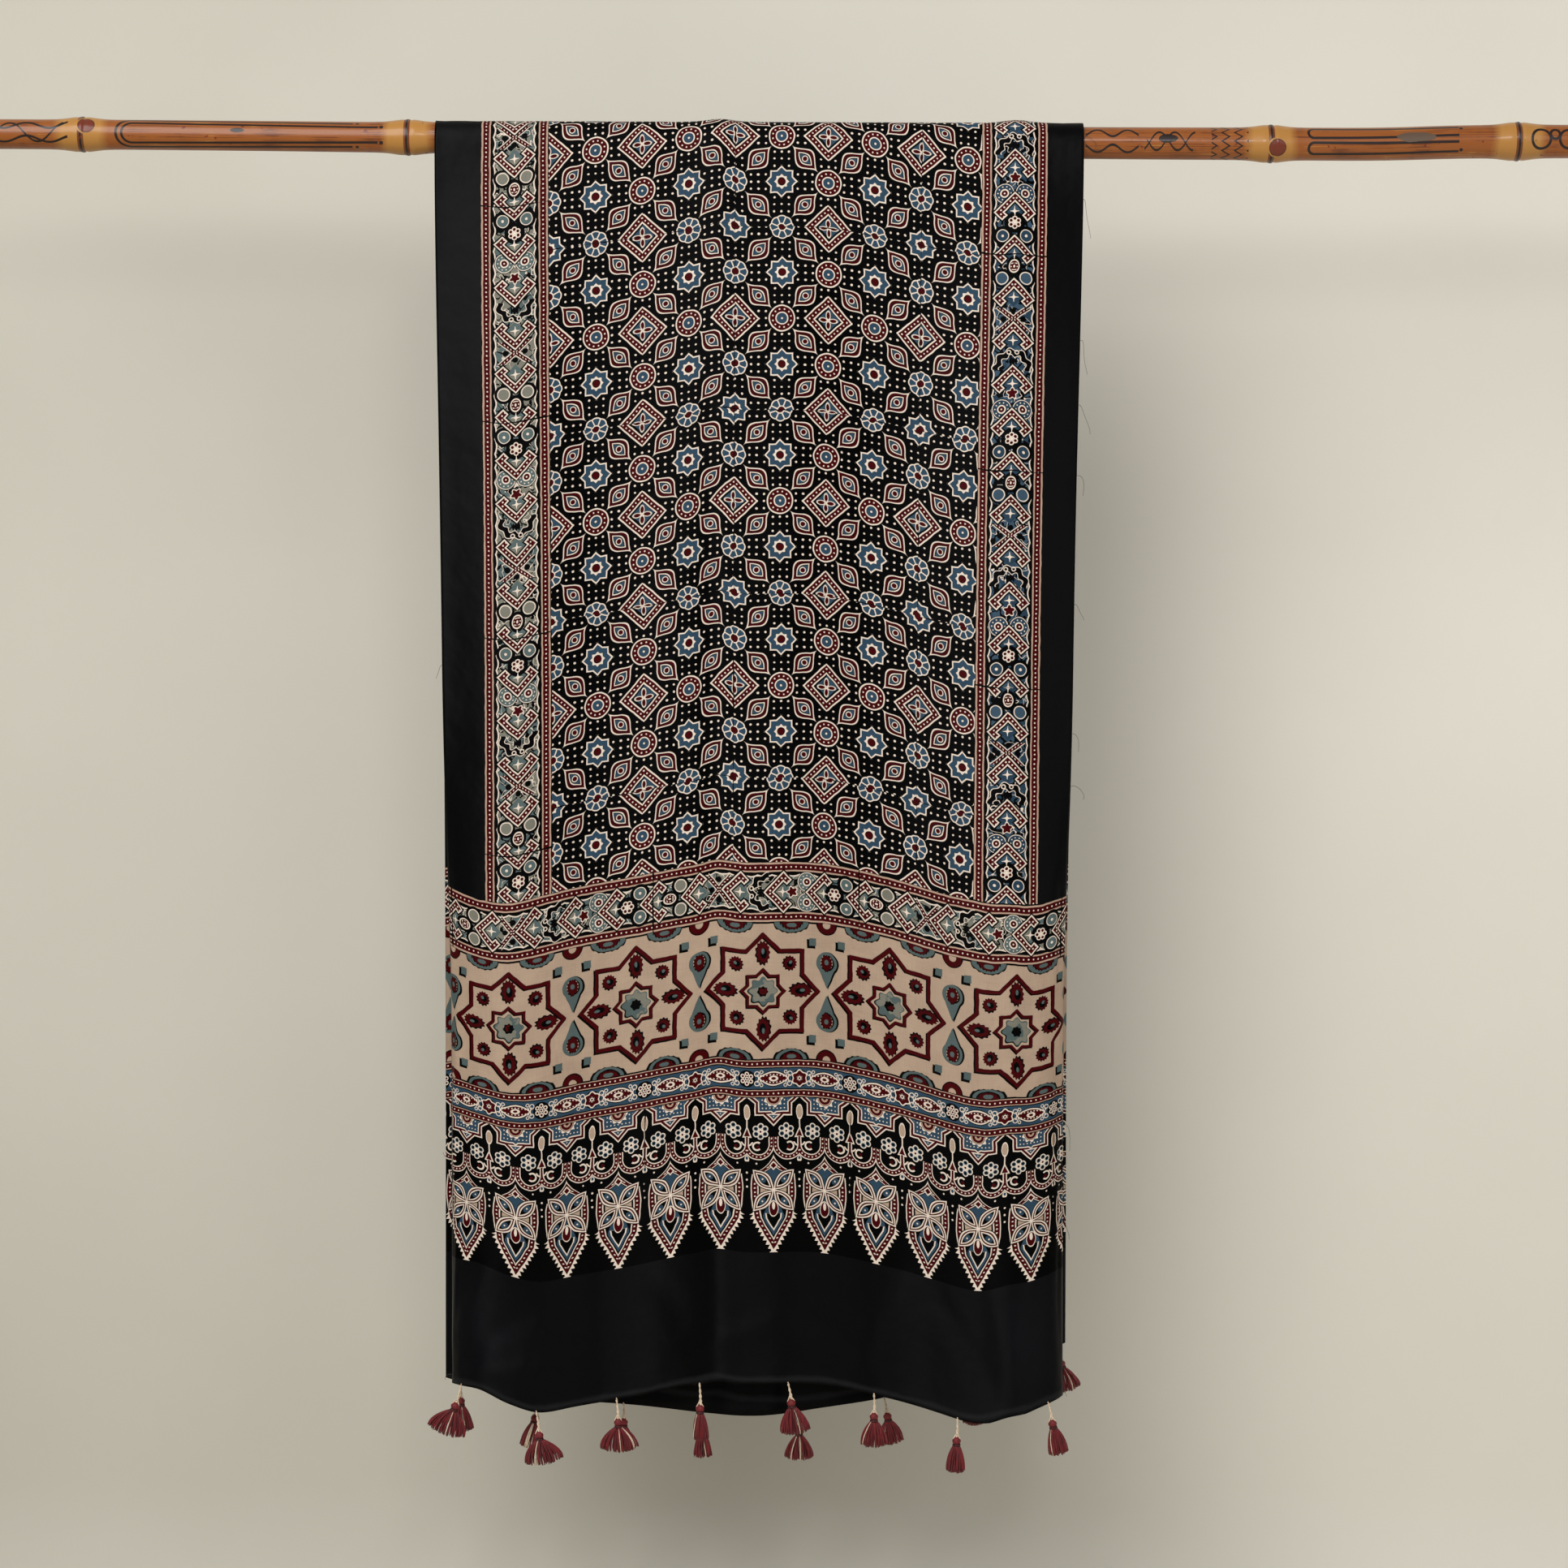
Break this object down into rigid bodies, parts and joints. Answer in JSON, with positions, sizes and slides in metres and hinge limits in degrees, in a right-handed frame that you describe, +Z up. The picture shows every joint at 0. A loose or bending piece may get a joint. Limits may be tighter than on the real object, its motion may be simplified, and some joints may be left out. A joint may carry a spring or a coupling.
{
  "type": "ajrakh cloth on bamboo rod",
  "caption": "Long block-printed cloth hung over a bamboo rod, with a star border, pointed end band and tasselled hems.",
  "frame": {"origin": "middle of the bamboo rod, on its axis", "axes": "+X along the rod, +Y away from the front panel, +Z up"},
  "size_m": [1.5, 0.0663, 1.1702],
  "materials": {
    "printed_silk": "satin block print in black, maroon, indigo and cream",
    "bamboo": "varnished bamboo with scorched lines",
    "tassel_floss": "cotton floss with a cream cord"
  },
  "bodies": {
    "root": {"cloth": "printed_silk", "bamboo_rod": "bamboo", "tassel_front_1": "tassel_floss", "tassel_front_2": "tassel_floss", "tassel_front_3": "tassel_floss", "tassel_front_4": "tassel_floss", "tassel_front_5": "tassel_floss", "tassel_front_6": "tassel_floss", "tassel_front_7": "tassel_floss", "tassel_front_8": "tassel_floss", "tassel_back_1": "tassel_floss", "tassel_back_2": "tassel_floss", "tassel_back_3": "tassel_floss", "tassel_back_4": "tassel_floss", "tassel_back_5": "tassel_floss", "tassel_back_6": "tassel_floss", "tassel_back_7": "tassel_floss", "tassel_back_8": "tassel_floss"}
  },
  "joints": []
}
